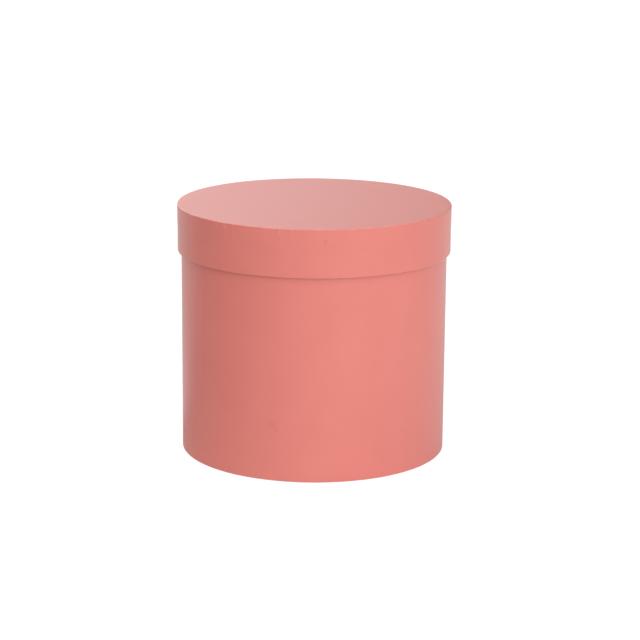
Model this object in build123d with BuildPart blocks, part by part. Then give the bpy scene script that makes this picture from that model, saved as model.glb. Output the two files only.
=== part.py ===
"""A round flower box with a lift-off lid, built the way a rigid paper-covered box is built.

Rolled greyboard rings and greyboard discs make the box and the lid. Coloured paper wraps them
outside and plain paper lines them inside. Every sheet is a solid of its own, as thick as the
paper with its glue, and lies face to face on what it is glued to.

The origin is the centre of the underside and +Z runs up the box's axis. Sizes are millimetres.
"""

import os
from math import degrees

from build123d import *

# Driving dimensions
LID_DIAMETER = 200.0
HEIGHT = 183.0  # underside of the box to the top of the lid
SKIRT_HEIGHT = 34.6  # top of the lid to the skirt's lower edge
LID_CLEARANCE = 0.5  # on each side, between the box and the lid's lining

# Stock
BOARD = 1.5
PAPER = 0.25  # one sheet with its glue
TAPE = 0.2
LAP_RISE = 0.2  # how far the upper end of a wrap stands over the lower end

# Folds, hems and joints
BOARD_EDGE = 0.35  # radius of a board edge crushed by the paper pulled over it
RAMP = 0.6  # length over which a sheet climbs onto the edge of another
RIM_TURN_IN = 15.0  # wall wrap folded down inside the rim
BASE_HEM = 15.0  # wall wrap folded under the base
TOP_HEM = 12.0  # lid top paper folded down over the skirt board
SKIRT_TURN_IN = 12.0  # skirt wrap folded up inside the skirt
LINING_FLANGE = 10.5  # foot of each lining, folded onto the floor or the ceiling
LINING_REVEAL = 4.0  # coloured paper left showing above or below a lining's free edge
TOP_EDGE_REVEAL = 0.7  # top paper left showing above the skirt wrap's upper edge
COVER_MARGIN = 5.0  # hem left showing around the base cover
DISC_MARGIN = 0.5  # clearance around the lining discs
LAP_WIDTH = 10.0
TAPE_WIDTH = 25.0
TAPE_MARGIN = 2.0  # tape stops this far from the board's edges
BUTT_GAP = 0.6  # between the two ends of a rolled board
BOX_SEAM = 100.0  # degrees from +X, at the back
LID_SEAM = 75.0

# Radii, from the outside inwards
SKIRT_OUTER = LID_DIAMETER / 2  # skirt wrap where it covers the top paper's hem
HEM_OUTER = SKIRT_OUTER - PAPER
SKIRT_BOARD_OUTER = HEM_OUTER - PAPER
SKIRT_BOARD_INNER = SKIRT_BOARD_OUTER - BOARD
SKIRT_TURN_IN_INNER = SKIRT_BOARD_INNER - PAPER
WALL_OUTER = SKIRT_TURN_IN_INNER - PAPER - LID_CLEARANCE
WALL_BOARD_OUTER = WALL_OUTER - PAPER
WALL_BOARD_INNER = WALL_BOARD_OUTER - BOARD
RIM_INNER = WALL_BOARD_INNER - PAPER
BASE_HEM_INNER = WALL_OUTER - BASE_HEM
FLOOR_FLANGE_INNER = WALL_BOARD_INNER - LINING_FLANGE
CEILING_FLANGE_INNER = SKIRT_BOARD_INNER - LINING_FLANGE

# Heights, from the underside upwards
COVER_SEAT = PAPER  # underside of the wall wrap's hem
BOARD_BOTTOM = COVER_SEAT + PAPER
FLOOR = BOARD_BOTTOM + BOARD
LID_BOARD_TOP = HEIGHT - PAPER
CEILING = LID_BOARD_TOP - BOARD
RIM = CEILING - 2 * PAPER  # the lid rests here, on its ceiling lining
WALL_BOARD_TOP = RIM - PAPER
RIM_TURN_IN_BOTTOM = RIM - RIM_TURN_IN
SKIRT_BOTTOM = HEIGHT - SKIRT_HEIGHT
SKIRT_BOARD_BOTTOM = SKIRT_BOTTOM + PAPER
SKIRT_TURN_IN_TOP = SKIRT_BOTTOM + SKIRT_TURN_IN
TOP_HEM_BOTTOM = HEIGHT - TOP_HEM


def radial_plane(angle):
    """The plane through the box's axis at angle: local x runs outwards and local y upwards."""
    outwards = Vector(1, 0, 0).rotate(Axis.Z, angle)
    return Plane(origin=(0, 0, 0), x_dir=outwards, z_dir=outwards.cross(Vector(0, 0, 1)))


def arc_degrees(length, radius):
    """The angle that an arc of this length takes up."""
    return degrees(length / radius)


def ring(inner, outer, bottom, top, bottom_edges=(0, 0), top_edges=(0, 0), plane=Plane.XZ):
    """Section of a ring or disc. The edge radii are given as (inner, outer)."""
    corners = [(inner, bottom), (outer, bottom), (outer, top), (inner, top)]
    radii = [*bottom_edges, top_edges[1], top_edges[0]]
    with BuildSketch(plane) as section:
        with BuildLine():
            FilletPolyline(*corners, radius=radii, close=True)
        make_face()
    return section.sketch


def sheet(*glued_face, folds=(), thickness=PAPER, plane=Plane.XZ):
    """Section of a paper sheet glued down along a path of (radius, height) points.

    The sheet's thickness lies to the right of the path. folds lists the numbers of the points
    where it is pulled over a board's crushed edge.
    """
    radii = [BOARD_EDGE if number in folds else 0 for number in range(1, len(glued_face) - 1)]
    with BuildSketch(plane) as section:
        with BuildLine():
            FilletPolyline(*glued_face, radius=radii)
            offset(amount=thickness, kind=Kind.INTERSECTION, side=Side.RIGHT)
        make_face()
    return section.sketch


def strip(section_at, seam, width, radius, mode=Mode.ADD):
    """Revolve a section through a band of this width, centred on a seam, in the open part."""
    half_angle = arc_degrees(width, radius) / 2
    start = radial_plane(seam - half_angle)
    revolve(section_at(start), Axis.Z, revolution_arc=2 * half_angle, mode=mode)


def rolled(section_at, seam, radius):
    """Revolve a board's section all round, except for the gap between its two ends."""
    gap = arc_degrees(BUTT_GAP, radius)
    start = radial_plane(seam + gap / 2)
    revolve(section_at(start), Axis.Z, revolution_arc=360 - gap)


# --- The box ---------------------------------------------------------------------------------


def wall_board_section(plane):
    """The wall's board, with the edges that the wrap is pulled over crushed round."""
    return ring(
        WALL_BOARD_INNER,
        WALL_BOARD_OUTER,
        BOARD_BOTTOM,
        WALL_BOARD_TOP,
        bottom_edges=(0, BOARD_EDGE),
        top_edges=(BOARD_EDGE, BOARD_EDGE),
        plane=plane,
    )


def wall_tape_section(plane):
    """The gummed tape over the wall board's joint, pressed in flush with the board."""
    return ring(
        WALL_BOARD_OUTER - TAPE,
        WALL_BOARD_OUTER,
        BOARD_BOTTOM + TAPE_MARGIN,
        WALL_BOARD_TOP - TAPE_MARGIN,
        plane=plane,
    )


def wall_lap_section(plane):
    """The upper end of the wall wrap, standing over the lower end."""
    lap_margin = BOARD_EDGE + PAPER
    return ring(
        WALL_OUTER,
        WALL_OUTER + LAP_RISE,
        COVER_SEAT + lap_margin,
        RIM - lap_margin,
        plane=plane,
    )


with BuildPart() as wall_board:
    rolled(wall_board_section, BOX_SEAM, WALL_BOARD_OUTER)
    strip(wall_tape_section, BOX_SEAM, TAPE_WIDTH, WALL_BOARD_OUTER, mode=Mode.SUBTRACT)

with BuildPart() as wall_joint_tape:
    strip(wall_tape_section, BOX_SEAM, TAPE_WIDTH, WALL_BOARD_OUTER)

with BuildPart() as base_board:
    revolve(ring(0, WALL_BOARD_INNER, BOARD_BOTTOM, FLOOR), Axis.Z)

with BuildPart() as wall_wrap:
    wrap = sheet(
        (BASE_HEM_INNER, BOARD_BOTTOM),
        (WALL_BOARD_OUTER, BOARD_BOTTOM),
        (WALL_BOARD_OUTER, WALL_BOARD_TOP),
        (WALL_BOARD_INNER, WALL_BOARD_TOP),
        (WALL_BOARD_INNER, RIM_TURN_IN_BOTTOM),
        folds=(1, 2, 3),
    )
    revolve(wrap, Axis.Z)
    strip(wall_lap_section, BOX_SEAM, LAP_WIDTH, WALL_OUTER)

with BuildPart() as wall_lining:
    lining = sheet(
        (RIM_INNER, RIM - LINING_REVEAL),
        (RIM_INNER, RIM_TURN_IN_BOTTOM),
        (WALL_BOARD_INNER, RIM_TURN_IN_BOTTOM - RAMP),
        (WALL_BOARD_INNER, FLOOR),
        (FLOOR_FLANGE_INNER, FLOOR),
    )
    revolve(lining, Axis.Z)

with BuildPart() as floor_lining:
    lining = sheet(
        (RIM_INNER - DISC_MARGIN, FLOOR + PAPER),
        (FLOOR_FLANGE_INNER, FLOOR + PAPER),
        (FLOOR_FLANGE_INNER - RAMP, FLOOR),
        (0, FLOOR),
    )
    revolve(lining, Axis.Z)

with BuildPart() as base_cover:
    cover = sheet(
        (0, BOARD_BOTTOM),
        (BASE_HEM_INNER - RAMP, BOARD_BOTTOM),
        (BASE_HEM_INNER, COVER_SEAT),
        (WALL_OUTER - COVER_MARGIN, COVER_SEAT),
    )
    revolve(cover, Axis.Z)


# --- The lid ---------------------------------------------------------------------------------


def skirt_board_section(plane):
    """The skirt's board. Its upper inner edge stays sharp, against the lid board's rim."""
    return ring(
        SKIRT_BOARD_INNER,
        SKIRT_BOARD_OUTER,
        SKIRT_BOARD_BOTTOM,
        LID_BOARD_TOP,
        bottom_edges=(BOARD_EDGE, BOARD_EDGE),
        top_edges=(0, BOARD_EDGE),
        plane=plane,
    )


def skirt_tape_section(plane):
    """The gummed tape over the skirt board's joint, pressed in flush with the board."""
    return ring(
        SKIRT_BOARD_OUTER - TAPE,
        SKIRT_BOARD_OUTER,
        SKIRT_BOARD_BOTTOM + TAPE_MARGIN,
        LID_BOARD_TOP - TAPE_MARGIN,
        plane=plane,
    )


def skirt_lap_section(plane):
    """The upper end of the skirt wrap. It climbs onto the top paper's hem as the wrap does."""
    return sheet(
        (HEM_OUTER, SKIRT_BOTTOM + BOARD_EDGE + PAPER),
        (HEM_OUTER, TOP_HEM_BOTTOM - RAMP),
        (SKIRT_OUTER, TOP_HEM_BOTTOM),
        (SKIRT_OUTER, HEIGHT - TOP_EDGE_REVEAL),
        thickness=LAP_RISE,
        plane=plane,
    )


with BuildPart() as lid_board:
    revolve(ring(0, SKIRT_BOARD_INNER, CEILING, LID_BOARD_TOP), Axis.Z)

with BuildPart() as skirt_board:
    rolled(skirt_board_section, LID_SEAM, SKIRT_BOARD_OUTER)
    strip(skirt_tape_section, LID_SEAM, TAPE_WIDTH, SKIRT_BOARD_OUTER, mode=Mode.SUBTRACT)

with BuildPart() as skirt_joint_tape:
    strip(skirt_tape_section, LID_SEAM, TAPE_WIDTH, SKIRT_BOARD_OUTER)

with BuildPart() as lid_top_wrap:
    wrap = sheet(
        (SKIRT_BOARD_OUTER, TOP_HEM_BOTTOM),
        (SKIRT_BOARD_OUTER, LID_BOARD_TOP),
        (0, LID_BOARD_TOP),
        folds=(1,),
    )
    revolve(wrap, Axis.Z)

with BuildPart() as skirt_wrap:
    wrap = sheet(
        (SKIRT_BOARD_INNER, SKIRT_TURN_IN_TOP),
        (SKIRT_BOARD_INNER, SKIRT_BOARD_BOTTOM),
        (SKIRT_BOARD_OUTER, SKIRT_BOARD_BOTTOM),
        (SKIRT_BOARD_OUTER, TOP_HEM_BOTTOM - RAMP),
        (HEM_OUTER, TOP_HEM_BOTTOM),
        (HEM_OUTER, HEIGHT - TOP_EDGE_REVEAL),
        folds=(1, 2),
    )
    revolve(wrap, Axis.Z)
    strip(skirt_lap_section, LID_SEAM, LAP_WIDTH, HEM_OUTER)

with BuildPart() as skirt_lining:
    lining = sheet(
        (CEILING_FLANGE_INNER, CEILING),
        (SKIRT_BOARD_INNER, CEILING),
        (SKIRT_BOARD_INNER, SKIRT_TURN_IN_TOP + RAMP),
        (SKIRT_TURN_IN_INNER, SKIRT_TURN_IN_TOP),
        (SKIRT_TURN_IN_INNER, SKIRT_BOTTOM + LINING_REVEAL),
    )
    revolve(lining, Axis.Z)

with BuildPart() as ceiling_lining:
    lining = sheet(
        (0, CEILING),
        (CEILING_FLANGE_INNER - RAMP, CEILING),
        (CEILING_FLANGE_INNER, CEILING - PAPER),
        (SKIRT_TURN_IN_INNER - DISC_MARGIN, CEILING - PAPER),
    )
    revolve(lining, Axis.Z)


# --- Files -----------------------------------------------------------------------------------

PIECES = {
    "wall_board": wall_board,
    "wall_joint_tape": wall_joint_tape,
    "base_board": base_board,
    "wall_wrap": wall_wrap,
    "wall_lining": wall_lining,
    "floor_lining": floor_lining,
    "base_cover": base_cover,
    "lid_board": lid_board,
    "skirt_board": skirt_board,
    "skirt_joint_tape": skirt_joint_tape,
    "lid_top_wrap": lid_top_wrap,
    "skirt_wrap": skirt_wrap,
    "skirt_lining": skirt_lining,
    "ceiling_lining": ceiling_lining,
}

os.makedirs("parts", exist_ok=True)
for name, piece in PIECES.items():
    piece.part.label = name
    export_step(piece.part, f"parts/{name}.step")
    print(f"{name}: {piece.part.volume:.0f} mm3")
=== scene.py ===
import math

import bpy
import numpy as np
from mathutils import Matrix, Vector


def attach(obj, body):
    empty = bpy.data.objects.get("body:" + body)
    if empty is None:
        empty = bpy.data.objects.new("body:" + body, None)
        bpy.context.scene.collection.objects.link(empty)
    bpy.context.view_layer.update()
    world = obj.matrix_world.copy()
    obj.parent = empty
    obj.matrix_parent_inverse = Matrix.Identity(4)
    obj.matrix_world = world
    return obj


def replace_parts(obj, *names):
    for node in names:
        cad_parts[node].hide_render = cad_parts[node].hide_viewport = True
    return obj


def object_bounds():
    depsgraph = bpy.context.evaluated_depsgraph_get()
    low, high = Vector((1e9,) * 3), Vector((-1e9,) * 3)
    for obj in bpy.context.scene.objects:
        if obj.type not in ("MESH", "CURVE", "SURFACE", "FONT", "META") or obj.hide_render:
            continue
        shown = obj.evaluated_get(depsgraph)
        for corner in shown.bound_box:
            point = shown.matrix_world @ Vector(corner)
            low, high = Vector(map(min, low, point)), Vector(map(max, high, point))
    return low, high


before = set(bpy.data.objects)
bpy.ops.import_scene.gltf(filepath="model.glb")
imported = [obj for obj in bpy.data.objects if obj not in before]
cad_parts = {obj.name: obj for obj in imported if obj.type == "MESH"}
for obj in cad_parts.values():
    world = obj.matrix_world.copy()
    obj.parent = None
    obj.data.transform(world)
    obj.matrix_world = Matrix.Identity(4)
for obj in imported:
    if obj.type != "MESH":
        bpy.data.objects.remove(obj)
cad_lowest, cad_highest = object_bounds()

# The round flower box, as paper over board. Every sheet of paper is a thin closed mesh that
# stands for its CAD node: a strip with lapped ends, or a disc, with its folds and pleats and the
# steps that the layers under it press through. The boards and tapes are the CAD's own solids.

MM = 0.001

# Paper. Every length below is in millimetres until a mesh is filled.
SHEET = 0.15  # thickness of one sheet
GLUE = 0.02  # between two sheets that are glued together
WAVE = 0.03  # how far the paper follows the board's own unevenness
PLEAT = 0.2  # height of a pleat pressed through one sheet
FOLD_RADIUS = 0.6  # visible side of a sheet pulled over a board's edge
CREASE_RADIUS = 0.35  # visible side of an inside corner
RAMP = 1.2  # length over which a sheet climbs onto another
RAMP_RADIUS = 2.0
HEM_RAMP = 5.0  # the skirt's paper, pulled tight, climbs slowly over the hem under it
HEM_RAMP_RADIUS = 20.0
RAGGED = 0.12  # how far a hand-cut edge wanders
TOP_SINK = 0.09  # the lid's top paper lies this far under the CAD's, to leave room for its swell

# Hems that the frame's boxes don't tell
RIM_TURN_IN = 15.0
SKIRT_TURN_IN = 12.0
TOP_HEM = 12.0
LINING_REVEAL = 4.0
TOP_EDGE_REVEAL = 0.7
DISC_MARGIN = 0.5
COVER_OVER_LAP = 0.155  # one sheet, pressed hard, so that the cover stays off the table

# Seams, in degrees from +X, all at the back
BOX_SEAM = 100.0
LID_SEAM = 75.0
BOX_LINING_SEAM = 130.0
LID_LINING_SEAM = 50.0
LAP = 10.0
LAP_RAMP = 1.5

# Pleats and tabs
TOP_PLEATS = 46
BASE_PLEATS = 42
FRONT_PLEATS = [(-134.5, 0.7), (-128.9, 1.0), (-124.7, 0.8), (-103.9, 0.9)]  # degrees, strength
PLEAT_STEP = 0.6  # width of a pleat's steep side
PLEAT_SLOPE = 1.8  # width of its gentle side
TABS = 48
TAB_SINK_FLOOR = 0.08  # how far a lining disc sinks into the notches between the foot's tabs
TAB_SINK_CEILING = 0.06

# Mesh density
COLUMNS = 480
ROW_STEP = 5.0
LID_ROW_STEP = 3.0
SKIRT_ROW_STEP = 2.5
ARC_STEPS = 6
PLEAT_COLUMNS = (-0.003, 0.003, 0.01, 0.02, 0.029)  # radians from a pleat's centre
CLEAR_OF_PLEAT = 0.002  # an even column this near to one of those is left out
CLOSEST_COLUMNS = 0.0005
SHARP_ANGLE = math.radians(40.0)

SEED = 20
random = np.random.default_rng(SEED)


# --- What the frame says ---------------------------------------------------------------------


def ring_of(node):
    """(inner radius, outer radius, bottom, top) of a CAD node."""
    points = np.array([v.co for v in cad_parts[node].data.vertices]) / MM
    radii = np.hypot(points[:, 0], points[:, 1])
    return radii.min(), radii.max(), points[:, 2].min(), points[:, 2].max()


wall_inner, wall_outer, wall_bottom, wall_top = ring_of("wall_board")
skirt_inner, skirt_outer, skirt_bottom, skirt_top = ring_of("skirt_board")
base_hem_inner = ring_of("wall_wrap")[0]
cover_outer = ring_of("base_cover")[1]
floor_foot_inner = ring_of("wall_lining")[0]
ceiling_foot_inner = ring_of("skirt_lining")[0]
floor = ring_of("base_board")[3]
ceiling = ring_of("lid_board")[2]
height = ring_of("lid_top_wrap")[3]
layer = height - skirt_top  # one sheet with its glue, as the CAD has it
over = SHEET + GLUE  # one more sheet on top of another

rim = wall_top + layer
skirt_edge = skirt_bottom - layer
turn_in_bottom = rim - RIM_TURN_IN
turn_in_top = skirt_edge + SKIRT_TURN_IN
hem_bottom = height - TOP_HEM

# Radii and heights of the sheets' visible sides
wall_face = wall_outer + layer - WAVE
rim_face = rim - GLUE
turn_in_face = wall_inner - layer + WAVE
base_hem_face = wall_bottom - over
cover_face = base_hem_face - over
skirt_face = skirt_outer + over + WAVE
top_hem_face = skirt_face
skirt_over_hem = top_hem_face + over
skirt_turn_in_face = skirt_inner - layer + WAVE
top_face = height - TOP_SINK


# --- Uneven surfaces -------------------------------------------------------------------------


def smooth(x):
    """0 below 0, 1 above 1 and an even slope between."""
    x = np.clip(x, 0.0, 1.0)
    return x * x * (3.0 - 2.0 * x)


def around(angle, centre):
    """Signed angle from centre, in radians, for any number of turns."""
    return (angle - centre + math.pi) % (2.0 * math.pi) - math.pi


def make_wave(counts, strength, drift=0.012):
    """A periodic unevenness round the box, which drifts slowly with height."""
    phases = random.uniform(0.0, 2.0 * math.pi, len(counts))
    drifts = random.uniform(-drift, drift, len(counts))
    shares = random.uniform(0.5, 1.0, len(counts))
    shares *= strength / shares.sum()

    def wave(angle, z):
        parts = zip(counts, phases, drifts, shares)
        return sum(share * np.sin(n * angle + phase + way * z) for n, phase, way, share in parts)

    return wave


def make_swell(strength):
    """The slight hills of a glued flat sheet, from 0 down to minus strength."""
    headings = random.uniform(0.0, 2.0 * math.pi, 7)
    lengths = random.uniform(35.0, 90.0, 7)
    phases = random.uniform(0.0, 2.0 * math.pi, 7)

    def swell(angle, r):
        total = 0.0
        for heading, length, phase in zip(headings, lengths, phases):
            across = r * np.cos(angle - heading)
            total = total + np.sin(2.0 * math.pi * across / length + phase) / 7.0
        return strength * (total - 1.0) / 2.0

    return swell


def make_pleats(count, named=()):
    """Pleats of a hem gathered round a curve: their angles, and their strength at an angle.

    named adds (angle in degrees, strength) for a pleat at a known place.
    """
    spacing = 2.0 * math.pi / count
    centres = (np.arange(count) + random.uniform(-0.3, 0.3, count)) * spacing
    strengths = random.uniform(0.1, 0.6, count)
    centres = np.append(centres, [math.radians(angle) for angle, _ in named])
    strengths = np.append(strengths, [strength for _, strength in named])

    def ridge(angle, r):
        total = 0.0
        for centre, strength in zip(centres, strengths):
            across = around(angle, centre) * r
            # a pleat is laid over to one side: a steep edge, then a gentle slope
            shape = smooth(across / PLEAT_STEP + 0.5)
            shape = shape * (1.0 - smooth((across - PLEAT_STEP / 2.0) / PLEAT_SLOPE))
            total = np.maximum(total, strength * shape)
        return total

    return centres, ridge


def lap_below(angle, r, seam):
    """1 over the lap of a seam in the sheet below, with a ramp at each side."""
    across = np.abs(around(angle, math.radians(seam))) * r
    return 1.0 - smooth((across - LAP / 2.0) / LAP_RAMP)


def tab(angle, r, inner, outer):
    """1 over the tabs cut in a lining's foot, and 0 in the notches between them."""
    pitch = 2.0 * math.pi / TABS
    across = np.abs((angle / pitch) % 1.0 - 0.5) * 2.0
    notch = 0.06 + 0.2 * np.clip((outer - r) / (outer - inner), 0.0, 1.0)
    return smooth((across - notch) / 0.08)


wall_wave = make_wave([3, 8, 21, 34, 47, 61, 74, 83], WAVE)
lid_wave = make_wave([2, 5, 16, 27, 41, 58, 71], WAVE)
ragged = make_wave([4, 7, 11, 19, 29, 53], RAGGED, drift=0.0)
top_swell = make_swell(0.04)
top_pleat_angles, top_pleats = make_pleats(TOP_PLEATS, FRONT_PLEATS)
base_pleat_angles, base_pleats = make_pleats(BASE_PLEATS)


# --- Sheets of paper -------------------------------------------------------------------------


def rounded(points, radii):
    """A path with its corners turned into arcs: rows of (r, z, normal r, normal z, fold).

    The normals point to the right of the path, which is the sheet's visible side. fold is 1 in
    the middle of an arc round a board's edge.
    """
    points = [np.array(point, float) for point in points]
    ways = [(b - a) / np.linalg.norm(b - a) for a, b in zip(points, points[1:])]
    rows = [(*points[0], ways[0][1], -ways[0][0], 0.0)]
    for point, before, after, radius in zip(points[1:-1], ways, ways[1:], radii):
        turn = math.atan2(before[0] * after[1] - before[1] * after[0], before @ after)
        inwards = np.array([-before[1], before[0]]) * math.copysign(1.0, turn)
        centre = point - before * radius * math.tan(abs(turn) / 2.0) + inwards * radius
        for step in range(ARC_STEPS + 1):
            angle = turn * step / ARC_STEPS
            cosine, sine = math.cos(angle), math.sin(angle)
            spin = np.array([[cosine, -sine], [sine, cosine]])
            place, way = centre - spin @ inwards * radius, spin @ before
            fold = math.sin(math.pi * step / ARC_STEPS) if radius == FOLD_RADIUS else 0.0
            rows.append((*place, way[1], -way[0], fold))
    rows.append((*points[-1], ways[-1][1], -ways[-1][0], 0.0))
    return rows


def divided(rows, step):
    """The same path with extra rows in its long straight runs."""
    made = [rows[0]]
    for a, b in zip(rows, rows[1:]):
        parts = max(1, math.ceil(math.hypot(b[0] - a[0], b[1] - a[1]) / step))
        for part in range(1, parts + 1):
            made.append([x + (y - x) * part / parts for x, y in zip(a, b)])
    return np.array(made)


def columns_between(start, end, pleats):
    """The angles of a sheet's columns: even ones, and close ones beside each pleat."""
    even = np.linspace(start, end, COLUMNS + 1)
    beside = [pleat + offset for pleat in pleats for offset in PLEAT_COLUMNS]
    beside = start + (np.array(beside) - start) % (2.0 * math.pi)
    inside = even[1:-1]
    if len(beside):
        inside = inside[np.abs(inside[:, None] - beside[None, :]).min(axis=1) > CLEAR_OF_PLEAT]
    angles = np.sort(np.concatenate([even[:1], inside, beside, even[-1:]]))
    return angles[np.concatenate([[True], np.diff(angles) > CLOSEST_COLUMNS])]


def sheet(name, node, points, radii, seam=None, shape=None, ragged_ends=(0, 0), pleats=(),
          step=ROW_STEP, wear=None):
    """A sheet of paper along a path of (radius, height) points on its visible side.

    With a seam it is a strip whose ends overlap there, the far end on top. Without one it is a
    disc or ring. shape(angle, r, z) lifts it off what it is glued to, and ragged_ends says how
    much its first and last rows wander along the path, as a hand-cut edge does. wear(angle, r, z)
    says where the paper is rubbed, besides its folds.
    """
    rows = divided(rounded(points, radii), step)
    r, z, normal_r, normal_z, fold = rows.T[:, :, None]
    widest = r.max()
    if seam is None:
        angles = columns_between(0.0, 2.0 * math.pi, pleats)[None, :-1]
        lift = np.zeros_like(angles)
    else:
        start = math.radians(seam) - LAP / 2.0 / widest
        turn_end = start + 2.0 * math.pi
        angles = columns_between(start, turn_end + LAP / widest, pleats)[None, :]
        lift = over * smooth((angles - turn_end) * widest / LAP_RAMP + 1.0)
    lift = lift + (0.0 * r if shape is None else shape(angles, r, z))
    for end, amount in zip((0, -1), ragged_ends):
        near = smooth(1.0 - np.abs(np.arange(len(rows)) - (len(rows) - 1) * (end != 0)) / 2.0)
        moved = amount * near[:, None] * ragged(angles, 0.0)
        r, z = r - normal_z * moved, z + normal_r * moved
    worn = fold + 0.0 * angles
    if wear is not None:
        worn = np.clip(worn + wear(angles, r, z), 0.0, 1.0)
    places = []
    for depth in (0.0, SHEET):
        radius = r + normal_r * (lift - depth)
        up = z + normal_z * (lift - depth) + 0.0 * angles
        places.append(np.stack([radius * np.cos(angles), radius * np.sin(angles), up], axis=-1))
    mesh = bpy.data.meshes.new(name)
    fill(mesh, np.array(places) * MM, seam is None, rows[:, 0] < 1e-6, worn)
    piece = bpy.data.objects.new(name, mesh)
    bpy.context.scene.collection.objects.link(piece)
    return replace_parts(piece, node)


def fill(mesh, places, closed, on_axis, worn):
    """Makes a mesh of places[side][row][column]; a row on the axis becomes one point.

    Its cut edges get the second material, and its "worn" attribute is 1 where it is rubbed.
    """
    sides, rows, columns, _ = places.shape
    numbers = np.arange(sides * rows * columns).reshape(sides, rows, columns)
    for row in np.flatnonzero(on_axis):
        numbers[:, row, :] = numbers[:, row, :1]
    used, numbers_used = np.unique(numbers, return_inverse=True)
    front, back = numbers_used.reshape(numbers.shape)
    if closed:
        front, back = (np.concatenate([side, side[:, :1]], axis=1) for side in (front, back))

    def quads(a, b, c, d):
        return np.stack([x.ravel() for x in (a, b, c, d)], axis=1)

    skins = [
        quads(front[:-1, :-1], front[:-1, 1:], front[1:, 1:], front[1:, :-1]),
        quads(back[:-1, :-1], back[1:, :-1], back[1:, 1:], back[:-1, 1:]),
    ]
    cuts = []
    if not on_axis[0]:
        cuts.append(quads(front[0, :-1], back[0, :-1], back[0, 1:], front[0, 1:]))
    if not on_axis[-1]:
        cuts.append(quads(front[-1, 1:], back[-1, 1:], back[-1, :-1], front[-1, :-1]))
    if not closed:
        cuts.append(quads(front[:-1, 0], front[1:, 0], back[1:, 0], back[:-1, 0]))
        cuts.append(quads(back[:-1, -1], back[1:, -1], front[1:, -1], front[:-1, -1]))
    faces = [list(dict.fromkeys(face)) for face in np.concatenate(skins + cuts).tolist()]
    mesh.from_pydata(places.reshape(-1, 3)[used], [], faces)
    skin_count = sum(len(skin) for skin in skins)
    mesh.polygons.foreach_set("material_index", [int(i >= skin_count) for i in range(len(faces))])
    worn = np.broadcast_to(worn, places.shape[:3]).ravel()[used]
    attribute = mesh.attributes.new("worn", "FLOAT", "POINT")
    attribute.data.foreach_set("value", worn.astype(np.float32))
    mesh.update()
    mesh.shade_smooth()
    mesh.set_sharp_from_angle(angle=SHARP_ANGLE)


# --- The box's papers ------------------------------------------------------------------------


def flat_of_pleats(angle, r):
    """0 where the wrap's lap turns under the base, where the hem is trimmed flat, and 1 elsewhere."""
    return 1.0 - lap_below(angle, r, BOX_SEAM)


def wall_wrap_shape(angle, r, z):
    on_wall = (r > wall_outer) * smooth((z - 1.0) / 5.0) * smooth((rim - 1.0 - z) / 5.0)
    on_hem = (z < wall_bottom) * smooth((wall_outer - r) / 8.0)
    near_fold = (r > wall_outer - 1.5) * smooth(1.0 - (z - base_hem_face) / 3.0)
    return (
        on_wall * wall_wave(angle, z)
        + on_hem * flat_of_pleats(angle, r) * PLEAT * base_pleats(angle, r)
        + near_fold * 0.08 * (base_pleats(angle, r) + 0.5 + 0.5 * ragged(angle, 0.0) / RAGGED)
    )


def make_wall_wrap():
    path = [
        (base_hem_inner, base_hem_face),
        (wall_face, base_hem_face),
        (wall_face, rim_face),
        (turn_in_face, rim_face),
        (turn_in_face, turn_in_bottom),
    ]
    return sheet("wall_wrap_paper", "wall_wrap", path, [FOLD_RADIUS] * 3, seam=BOX_SEAM,
                 shape=wall_wrap_shape, pleats=base_pleat_angles)


def wall_lining_shape(angle, r, z):
    return over * lap_below(angle, r, BOX_SEAM) * smooth((z - turn_in_bottom) / RAMP)


def make_wall_lining():
    over_turn_in = turn_in_face - over - 0.03
    path = [
        (over_turn_in, rim - LINING_REVEAL),
        (over_turn_in, turn_in_bottom),
        (turn_in_face, turn_in_bottom - RAMP),
        (turn_in_face, floor + over),
        (floor_foot_inner, floor + over),
    ]
    radii = [RAMP_RADIUS, RAMP_RADIUS, CREASE_RADIUS]
    return sheet("wall_lining_paper", "wall_lining", path, radii, seam=BOX_LINING_SEAM,
                 shape=wall_lining_shape, ragged_ends=(1, 0))


def floor_lining_shape(angle, r, z):
    on_foot = smooth((r - floor_foot_inner) / RAMP)
    tabs = tab(angle, r, floor_foot_inner, wall_inner)
    return -TAB_SINK_FLOOR * on_foot * (1.0 - tabs)


def make_floor_lining():
    path = [
        (turn_in_face - DISC_MARGIN, floor + 2.0 * over + TAB_SINK_FLOOR),
        (floor_foot_inner, floor + 2.0 * over + TAB_SINK_FLOOR),
        (floor_foot_inner - RAMP, floor + over),
        (0.0, floor + over),
    ]
    return sheet("floor_lining_paper", "floor_lining", path, [RAMP_RADIUS] * 2,
                 shape=floor_lining_shape, ragged_ends=(1, 0))


def base_cover_shape(angle, r, z):
    pleated = flat_of_pleats(angle, r)
    pressed = PLEAT * base_pleats(angle, r) * pleated + COVER_OVER_LAP * (1.0 - pleated)
    return pressed * smooth((r - base_hem_inner) / RAMP + 1.0)


def make_base_cover():
    path = [
        (0.0, base_hem_face),
        (base_hem_inner - RAMP, base_hem_face),
        (base_hem_inner, cover_face),
        (cover_outer, cover_face),
    ]
    return sheet("base_cover_paper", "base_cover", path, [RAMP_RADIUS] * 2,
                 shape=base_cover_shape, ragged_ends=(0, 1), pleats=base_pleat_angles)


# --- The lid's papers ------------------------------------------------------------------------


def hem_pleats(angle, r, z):
    """The top paper's pleats, which start at the lid's edge and grow down the hem."""
    started = smooth((z - hem_bottom + 1.0) / 1.5)
    grown = 1.0 - 0.4 * smooth((z - height + 2.0) / 2.0)
    return PLEAT * started * grown * top_pleats(angle, r)


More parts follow.
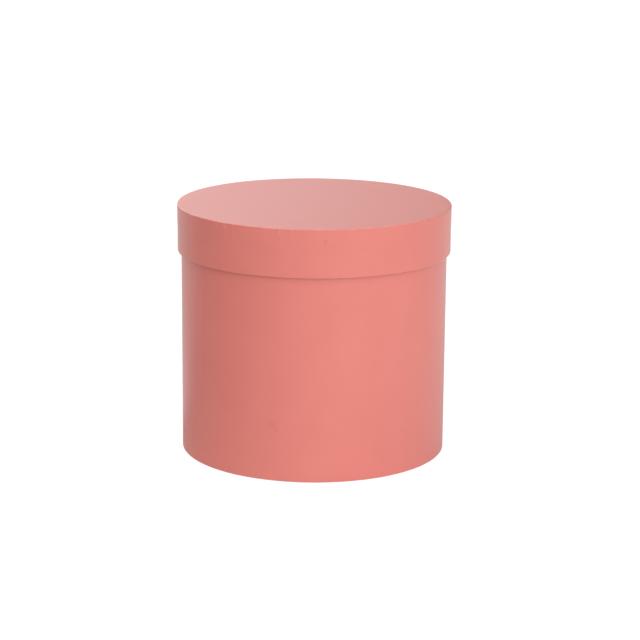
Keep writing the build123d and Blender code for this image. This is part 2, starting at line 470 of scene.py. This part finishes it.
def lid_top_shape(angle, r, z):
    on_top = smooth((skirt_outer - 1.0 - r) / 3.0)
    joint = smooth(1.0 - np.abs(r - skirt_inner) / 1.2)  # the board's joint under the paper
    return (
        on_top * top_swell(angle, r)
        - 0.02 * joint
        + (1.0 - smooth((skirt_outer - r) / 1.2)) * (hem_pleats(angle, r, z) + lid_wave(angle, z))
    )


def make_lid_top_wrap():
    path = [(top_hem_face, hem_bottom), (top_hem_face, top_face), (0.0, top_face)]
    return sheet("lid_top_paper", "lid_top_wrap", path, [FOLD_RADIUS], shape=lid_top_shape,
                 pleats=top_pleat_angles, step=LID_ROW_STEP)


def skirt_wrap_shape(angle, r, z):
    outside = r > skirt_outer
    on_wall = outside * smooth((z - skirt_edge - 0.6) / 4.0)
    near_fold = smooth(1.0 - (z - skirt_edge) / 2.0) * (0.5 + 0.5 * ragged(angle, 0.0) / RAGGED)
    softened = 0.35 + 0.65 * smooth((z - height + 8.0) / 6.0)
    return (
        on_wall * lid_wave(angle, z)
        + outside * softened * hem_pleats(angle, r, z)
        + 0.04 * near_fold
    )


def skirt_wear(angle, r, z):
    """The pleats of the hem below rub through at the lid's edge."""
    near_edge = smooth((z - height + 6.0) / 4.0)
    return 0.5 * near_edge * top_pleats(angle, r) ** 2


def make_skirt_wrap():
    path = [
        (skirt_turn_in_face, turn_in_top),
        (skirt_turn_in_face, skirt_edge),
        (skirt_face, skirt_edge),
        (skirt_face, hem_bottom - HEM_RAMP),
        (skirt_over_hem, hem_bottom),
        (skirt_over_hem, height - TOP_EDGE_REVEAL),
    ]
    radii = [FOLD_RADIUS, FOLD_RADIUS, HEM_RAMP_RADIUS, HEM_RAMP_RADIUS]
    return sheet("skirt_wrap_paper", "skirt_wrap", path, radii, seam=LID_SEAM,
                 shape=skirt_wrap_shape, ragged_ends=(0, 1), pleats=top_pleat_angles,
                 step=SKIRT_ROW_STEP, wear=skirt_wear)


def skirt_lining_shape(angle, r, z):
    return over * lap_below(angle, r, LID_SEAM) * (1.0 - smooth((z - turn_in_top) / RAMP))


def make_skirt_lining():
    over_turn_in = skirt_turn_in_face - over - 0.03
    path = [
        (ceiling_foot_inner, ceiling - over),
        (skirt_turn_in_face, ceiling - over),
        (skirt_turn_in_face, turn_in_top + RAMP),
        (over_turn_in, turn_in_top),
        (over_turn_in, skirt_edge + LINING_REVEAL),
    ]
    radii = [CREASE_RADIUS, RAMP_RADIUS, RAMP_RADIUS]
    return sheet("skirt_lining_paper", "skirt_lining", path, radii, seam=LID_LINING_SEAM,
                 shape=skirt_lining_shape, ragged_ends=(0, 1), step=LID_ROW_STEP)


def ceiling_lining_shape(angle, r, z):
    on_foot = smooth((r - ceiling_foot_inner) / RAMP)
    tabs = tab(angle, r, ceiling_foot_inner, skirt_inner)
    return -TAB_SINK_CEILING * on_foot * (1.0 - tabs)


def make_ceiling_lining():
    face = rim + 0.5 * GLUE
    path = [
        (0.0, ceiling - over),
        (ceiling_foot_inner - RAMP, ceiling - over),
        (ceiling_foot_inner, face),
        (skirt_turn_in_face - DISC_MARGIN, face),
    ]
    return sheet("ceiling_lining_paper", "ceiling_lining", path, [RAMP_RADIUS] * 2,
                 shape=ceiling_lining_shape, ragged_ends=(0, 1))


# --- Materials -------------------------------------------------------------------------------


class Finish:
    """A Principled material, with short ways to add nodes to it."""

    def __init__(self, name, roughness, ior=1.5):
        self.material = bpy.data.materials.new(name)
        self.material.use_nodes = True
        self.tree = self.material.node_tree
        self.shader = self.tree.nodes["Principled BSDF"]
        self.shader.inputs["Roughness"].default_value = roughness
        self.shader.inputs["IOR"].default_value = ior
        self.place = self.add("ShaderNodeTexCoord").outputs["Object"]

    def add(self, kind, inputs=None, **settings):
        """A new node. An input's value is a number, a colour or another node's output."""
        node = self.tree.nodes.new(kind)
        for name, value in settings.items():
            setattr(node, name, value)
        for key, value in (inputs or {}).items():
            if isinstance(value, bpy.types.NodeSocket):
                self.tree.links.new(value, node.inputs[key])
            else:
                node.inputs[key].default_value = value
        return node

    def noise(self, scale, detail=3.0, roughness=0.55):
        inputs = {"Vector": self.place, "Scale": scale, "Detail": detail, "Roughness": roughness}
        return self.add("ShaderNodeTexNoise", inputs).outputs["Fac"]

    def spread(self, value, low, high, to_low=0.0, to_high=1.0):
        """value from low to high, clamped, as a number from to_low to to_high."""
        inputs = {"Value": value, "From Min": low, "From Max": high, "To Min": to_low, "To Max": to_high}
        return self.add("ShaderNodeMapRange", inputs).outputs["Result"]

    def math(self, operation, a, b):
        return self.add("ShaderNodeMath", {0: a, 1: b}, operation=operation).outputs["Value"]

    def mix(self, share, a, b):
        """The colour a, or b where share is 1."""
        node = self.add("ShaderNodeMix", {"Factor": share}, data_type="RGBA")
        for key, value in (("A", a), ("B", b)):
            socket = next(s for s in node.inputs if s.name == key and s.type == "RGBA")
            if isinstance(value, bpy.types.NodeSocket):
                self.tree.links.new(value, socket)
            else:
                socket.default_value = value
        return next(s for s in node.outputs if s.type == "RGBA")

    def flecks(self, scale, share, size):
        """1 in small spots, in this share of a pattern's cells."""
        cells = self.add("ShaderNodeTexVoronoi", {"Vector": self.place, "Scale": scale})
        chosen = self.add("ShaderNodeSeparateColor", {"Color": cells.outputs["Color"]}).outputs[0]
        picked = self.math("LESS_THAN", chosen, share)
        near = self.spread(cells.outputs["Distance"], size * 0.6, size, 1.0, 0.0)
        return self.math("MULTIPLY", picked, near)

    def patch(self, angle, radius, height, reach):
        """1 at a place given in degrees and millimetres, down to 0 at its reach."""
        turned = math.radians(angle)
        centre = Vector((radius * math.cos(turned), radius * math.sin(turned), height)) * MM
        away = self.add("ShaderNodeVectorMath", {0: self.place, 1: centre}, operation="DISTANCE")
        return self.spread(away.outputs["Value"], 0.2 * reach * MM, reach * MM, 1.0, 0.0)

    def bump(self, height, distance, strength=1.0, below=None):
        inputs = {"Height": height, "Distance": distance, "Strength": strength}
        if below is not None:
            inputs["Normal"] = below
        return self.add("ShaderNodeBump", inputs).outputs["Normal"]

    def finish(self, colour, roughness=None, normal=None):
        for key, value in (("Base Color", colour), ("Roughness", roughness), ("Normal", normal)):
            if value is not None:
                self.tree.links.new(value, self.shader.inputs[key])
        return self.material


CORAL = (0.81, 0.227, 0.189, 1.0)
CORAL_LIGHT = (0.84, 0.242, 0.202, 1.0)
CORAL_WORN = (0.90, 0.44, 0.38, 1.0)
CORAL_BRUISED = (0.56, 0.12, 0.10, 1.0)
# Colours of a sheet's cut edge: painted shade, darker than the face, as the thin shadow line along the
# cut
CUT_SHADE_DARK, CUT_SHADE_LIGHT = (0.60, 0.15, 0.12, 1.0), (0.72, 0.24, 0.20, 1.0)
WHITE_DARK, WHITE_LIGHT = (0.80, 0.77, 0.71, 1.0), (0.85, 0.82, 0.77, 1.0)
WHITE_FIBRE, WHITE_FLECK = (0.72, 0.68, 0.60, 1.0), (0.5, 0.42, 0.32, 1.0)
PULP_DARK, PULP_LIGHT = (0.22, 0.20, 0.165, 1.0), (0.34, 0.31, 0.26, 1.0)
PULP_DARK_FLECK, PULP_PALE_FLECK = (0.09, 0.08, 0.07, 1.0), (0.55, 0.52, 0.46, 1.0)
KRAFT_DARK, KRAFT_LIGHT = (0.36, 0.20, 0.095, 1.0), (0.47, 0.28, 0.145, 1.0)
KRAFT_RIB = (0.28, 0.15, 0.07, 1.0)

# Knocks in the paper: degrees from +X, radius, height and reach
KNOCKS = [
    (-106.8, wall_face, 41.5, 3.4),
    (-105.1, wall_face, 39.0, 2.6),
    (-85.6, skirt_over_hem, 174.0, 2.4),
]


def coral_paper():
    """Smooth wrapping paper, dyed on its face: clouded colour, fine fibres and worn folds."""
    paper = Finish("coral_paper", roughness=0.31)
    clouds = paper.noise(34.0, detail=4.0)
    fibres = paper.noise(1500.0, detail=3.0, roughness=0.65)
    peel = paper.noise(420.0, detail=2.0)
    colour = paper.mix(paper.spread(clouds, 0.3, 0.7), CORAL, CORAL_LIGHT)
    grain = paper.spread(fibres, 0.3, 0.7, 0.0, 0.35)
    colour = paper.mix(grain, colour, CORAL_LIGHT)
    worn = paper.add("ShaderNodeAttribute", attribute_name="worn").outputs["Fac"]
    rubbed = paper.spread(paper.noise(160.0, detail=5.0, roughness=0.7), 0.40, 0.60, 0.35, 1.0)
    colour = paper.mix(paper.math("MULTIPLY", worn, rubbed), colour, CORAL_WORN)
    specks = paper.math("MULTIPLY", paper.flecks(90.0, 0.02, 0.04), 0.25)
    colour = paper.mix(specks, colour, CORAL_WORN)
    scratches = paper.spread(paper.noise(600.0, detail=4.0, roughness=0.6), 0.42, 0.6)
    for knock in KNOCKS:
        bruise = paper.math("MULTIPLY", paper.patch(*knock), scratches)
        colour = paper.mix(paper.math("MULTIPLY", bruise, 0.4), colour, CORAL_BRUISED)
    # values near 0.27 rendered with small dark blotches
    roughness = paper.spread(clouds, 0.0, 1.0, 0.29, 0.35)
    normal = paper.bump(peel, 0.00004, 0.35)
    normal = paper.bump(fibres, 0.00002, 0.35, below=normal)
    return paper.finish(colour, roughness, normal)


def cut_edge_painted_shade():
    """The duller middle layer of the coral paper, seen where a sheet is cut, with painted shade: darker
    than the face, as the thin shadow line along a cut edge.
    """
    core_and_shade = Finish("coral_paper_cut_shade", roughness=0.9)
    fibres = core_and_shade.noise(2500.0)
    colour = core_and_shade.mix(core_and_shade.spread(fibres, 0.3, 0.7), CUT_SHADE_DARK, CUT_SHADE_LIGHT)
    return core_and_shade.finish(colour, normal=core_and_shade.bump(fibres, 0.00002, 0.5))


def lining_paper():
    """Uncoated white paper: faint clouds, fibres and a slightly rough face."""
    paper = Finish("lining_paper", roughness=0.8, ior=1.45)
    clouds = paper.noise(55.0, detail=5.0, roughness=0.6)
    fibres = paper.noise(1100.0, detail=4.0, roughness=0.7)
    colour = paper.mix(paper.spread(clouds, 0.3, 0.7), WHITE_DARK, WHITE_LIGHT)
    colour = paper.mix(paper.spread(fibres, 0.5, 0.75, 0.0, 0.35), colour, WHITE_FIBRE)
    specks = paper.math("MULTIPLY", paper.flecks(150.0, 0.06, 0.06), 0.5)
    colour = paper.mix(specks, colour, WHITE_FLECK)
    roughness = paper.spread(fibres, 0.3, 0.7, 0.74, 0.88)
    return paper.finish(colour, roughness, paper.bump(fibres, 0.00004, 0.6))


def greyboard():
    """Recycled board: grey-brown pulp with dark and pale flecks."""
    board = Finish("greyboard", roughness=0.92, ior=1.4)
    pulp = board.noise(260.0, detail=6.0, roughness=0.7)
    colour = board.mix(board.spread(pulp, 0.3, 0.7), PULP_DARK, PULP_LIGHT)
    colour = board.mix(board.flecks(420.0, 0.14, 0.22), colour, PULP_DARK_FLECK)
    colour = board.mix(board.flecks(360.0, 0.1, 0.2), colour, PULP_PALE_FLECK)
    return board.finish(colour, normal=board.bump(pulp, 0.00008, 0.7))


def kraft_tape():
    """Gummed brown paper tape with fine machine ribs across it."""
    tape = Finish("kraft_tape", roughness=0.75, ior=1.45)
    clouds = tape.noise(140.0, detail=5.0)
    ribs = tape.add(
        "ShaderNodeTexWave",
        {"Vector": tape.place, "Scale": 900.0, "Distortion": 2.0, "Detail": 2.0},
        bands_direction="Z",
    ).outputs["Fac"]
    colour = tape.mix(tape.spread(clouds, 0.3, 0.7), KRAFT_DARK, KRAFT_LIGHT)
    colour = tape.mix(tape.spread(ribs, 0.2, 0.9, 0.0, 0.2), colour, KRAFT_RIB)
    return tape.finish(colour, normal=tape.bump(ribs, 0.00002, 0.5))


def put_on(piece, *materials):
    """Gives a piece these materials, in the order of its faces' material numbers."""
    piece.data.materials.clear()
    for material in materials:
        piece.data.materials.append(material)


# --- The set ---------------------------------------------------------------------------------

# The camera stands in front, a little above, and its picture leans slightly clockwise.
CAMERA_DISTANCE = 1.574
CAMERA_ELEVATION = math.radians(13.925)
CAMERA_ROLL = math.radians(0.47)
LENS = 119.9
AIM_RIGHT = 0.00472
AIM_UP = 0.5166  # share of the box's height

# The light that reaches the box, as shares of the picture's white. The camera itself sees white
# all round, as in a photograph taken on a white sweep.
SKY_DIM = 0.17
FRONT_LIGHT, FRONT_AZIMUTH, FRONT_WIDTHS = 1.43, 10.0, (90.0, 20.0)
SWEEP_LIGHT, SWEEP_AZIMUTH, SWEEP_WIDTHS = 1.3, -148.0, (45.0, 15.0)
TABLE_DIM, TABLE_BRIGHT = 0.1, 0.65  # on the left and on the right
TABLE_REACH = 0.45
TABLE_SWEEP = 0.45  # added towards the sweep
FLOOR_REACH = 6.0
TABLE_SEEN = 0.9
TABLE_GREY = (0.25, 0.25, 0.25, 1.0)
KEY_PLACE = (0.75, -2.07, 0.5)
KEY_SIZE = (2.2, 1.0)
KEY_POWER = 3.5


def make_camera():
    aim = Vector((AIM_RIGHT, 0.0, cad_highest.z * AIM_UP))
    backwards = Vector((0.0, -math.cos(CAMERA_ELEVATION), math.sin(CAMERA_ELEVATION)))
    camera = bpy.data.objects.new("camera", bpy.data.cameras.new("camera"))
    camera.data.lens = LENS
    camera.location = aim + backwards * CAMERA_DISTANCE
    upright = backwards.to_track_quat("Z", "Y").to_matrix()
    camera.rotation_euler = (upright @ Matrix.Rotation(CAMERA_ROLL, 3, "Z")).to_euler()
    bpy.context.scene.collection.objects.link(camera)
    bpy.context.scene.camera = camera


def level_way(azimuth):
    """The level direction at an azimuth from the camera's side, in degrees towards +X."""
    angle = math.radians(azimuth)
    return (math.sin(angle), -math.cos(angle), 0.0)


def toward(tree, source, azimuth, low, high, to_low, to_high):
    """A number that goes smoothly from to_low to to_high as source moves towards an azimuth."""
    dot = tree.nodes.new("ShaderNodeVectorMath")
    dot.operation = "DOT_PRODUCT"
    tree.links.new(source, dot.inputs[0])
    dot.inputs[1].default_value = level_way(azimuth)
    ramp = tree.nodes.new("ShaderNodeMapRange")
    ramp.interpolation_type = "SMOOTHSTEP"
    tree.links.new(dot.outputs["Value"], ramp.inputs["Value"])
    for name, value in (("From Min", low), ("From Max", high), ("To Min", to_low), ("To Max", to_high)):
        ramp.inputs[name].default_value = value
    return ramp.outputs["Result"]


def level(tree, source):
    """A direction or a place turned into its level direction from the box's axis."""
    for operation, value in (("MULTIPLY", (1.0, 1.0, 0.0)), ("NORMALIZE", None)):
        step = tree.nodes.new("ShaderNodeVectorMath")
        step.operation = operation
        tree.links.new(source, step.inputs[0])
        if value:
            step.inputs[1].default_value = value
        source = step.outputs["Vector"]
    return source


def lobe(tree, way, azimuth, widths, dim, light):
    """A number that is light towards an azimuth and dim outside the lobe's two widths."""
    edge, middle = (math.cos(math.radians(width)) for width in widths)
    return toward(tree, way, azimuth, edge, middle, dim, light)


def to_camera(tree, others, seen):
    """The number others, or seen where the camera itself looks."""
    path = tree.nodes.new("ShaderNodeLightPath")
    choice = tree.nodes.new("ShaderNodeMix")
    tree.links.new(path.outputs["Is Camera Ray"], choice.inputs["Factor"])
    tree.links.new(others, choice.inputs["A"])
    choice.inputs["B"].default_value = seen
    return choice.outputs["Result"]


def make_floor():
    """A wide pale light table at the height that the box stands on."""
    mesh = bpy.data.meshes.new("floor")
    corners = [(x * FLOOR_REACH, y * FLOOR_REACH, 0.0) for x, y in ((-1, -1), (1, -1), (1, 1), (-1, 1))]
    mesh.from_pydata(corners, [], [(0, 1, 2, 3)])
    surface = bpy.data.objects.new("floor", mesh)
    bpy.context.scene.collection.objects.link(surface)
    table = Finish("floor", roughness=0.9, ior=1.0)
    table.shader.inputs["Base Color"].default_value = TABLE_GREY
    table.shader.inputs["Emission Color"].default_value = (1.0, 1.0, 1.0, 1.0)
    glow = toward(table.tree, table.place, 90.0, -TABLE_REACH, TABLE_REACH, TABLE_DIM, TABLE_BRIGHT)
    way = level(table.tree, table.place)
    glow = table.math("ADD", glow, lobe(table.tree, way, SWEEP_AZIMUTH, SWEEP_WIDTHS, 0.0, TABLE_SWEEP))
    glow = to_camera(table.tree, glow, TABLE_SEEN)
    table.tree.links.new(glow, table.shader.inputs["Emission Strength"])
    put_on(surface, table.material)


def make_sky():
    world = bpy.data.worlds.new("studio")
    world.use_nodes = True
    tree = world.node_tree
    background = tree.nodes["Background"]
    background.inputs["Color"].default_value = (1.0, 1.0, 1.0, 1.0)
    way = level(tree, tree.nodes.new("ShaderNodeTexCoord").outputs["Generated"])
    front = lobe(tree, way, FRONT_AZIMUTH, FRONT_WIDTHS, SKY_DIM, FRONT_LIGHT)
    sweep = lobe(tree, way, SWEEP_AZIMUTH, SWEEP_WIDTHS, 0.0, SWEEP_LIGHT)
    glow = tree.nodes.new("ShaderNodeMath")
    tree.links.new(front, glow.inputs[0])
    tree.links.new(sweep, glow.inputs[1])
    tree.links.new(to_camera(tree, glow.outputs["Value"], 1.0), background.inputs["Strength"])
    bpy.context.scene.world = world


def make_key():
    """A tall softbox in front, to the right."""
    light = bpy.data.lights.new("key", "AREA")
    light.shape = "RECTANGLE"
    light.size, light.size_y = KEY_SIZE
    light.energy = KEY_POWER
    lamp = bpy.data.objects.new("key", light)
    lamp.location = KEY_PLACE
    lamp.visible_camera = False
    aim = Vector((0.0, 0.0, cad_highest.z / 2.0))
    lamp.rotation_euler = (aim - Vector(KEY_PLACE)).to_track_quat("-Z", "Y").to_euler()
    bpy.context.scene.collection.objects.link(lamp)


# --- Putting it together ---------------------------------------------------------------------

make_camera()
make_sky()
make_key()
make_floor()

papers = {
    "box": {
        "coral_paper": [make_wall_wrap(), make_base_cover()],
        "lining_paper": [make_wall_lining(), make_floor_lining()],
    },
    "lid": {
        "coral_paper": [make_lid_top_wrap(), make_skirt_wrap()],
        "lining_paper": [make_skirt_lining(), make_ceiling_lining()],
    },
}
boards = {
    "greyboard": ["wall_board", "base_board", "lid_board", "skirt_board"],
    "kraft_tape": ["wall_joint_tape", "skirt_joint_tape"],
}
lining = lining_paper()
paper_finishes = {"coral_paper": (coral_paper(), cut_edge_painted_shade()), "lining_paper": (lining, lining)}
board_finishes = {"greyboard": greyboard(), "kraft_tape": kraft_tape()}

for body, by_slot in papers.items():
    for slot, pieces in by_slot.items():
        for piece in pieces:
            put_on(piece, *paper_finishes[slot])
            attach(piece, body)

for slot, nodes in boards.items():
    for node in nodes:
        put_on(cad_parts[node], board_finishes[slot])

bpy.context.scene.view_settings.view_transform = "Standard"
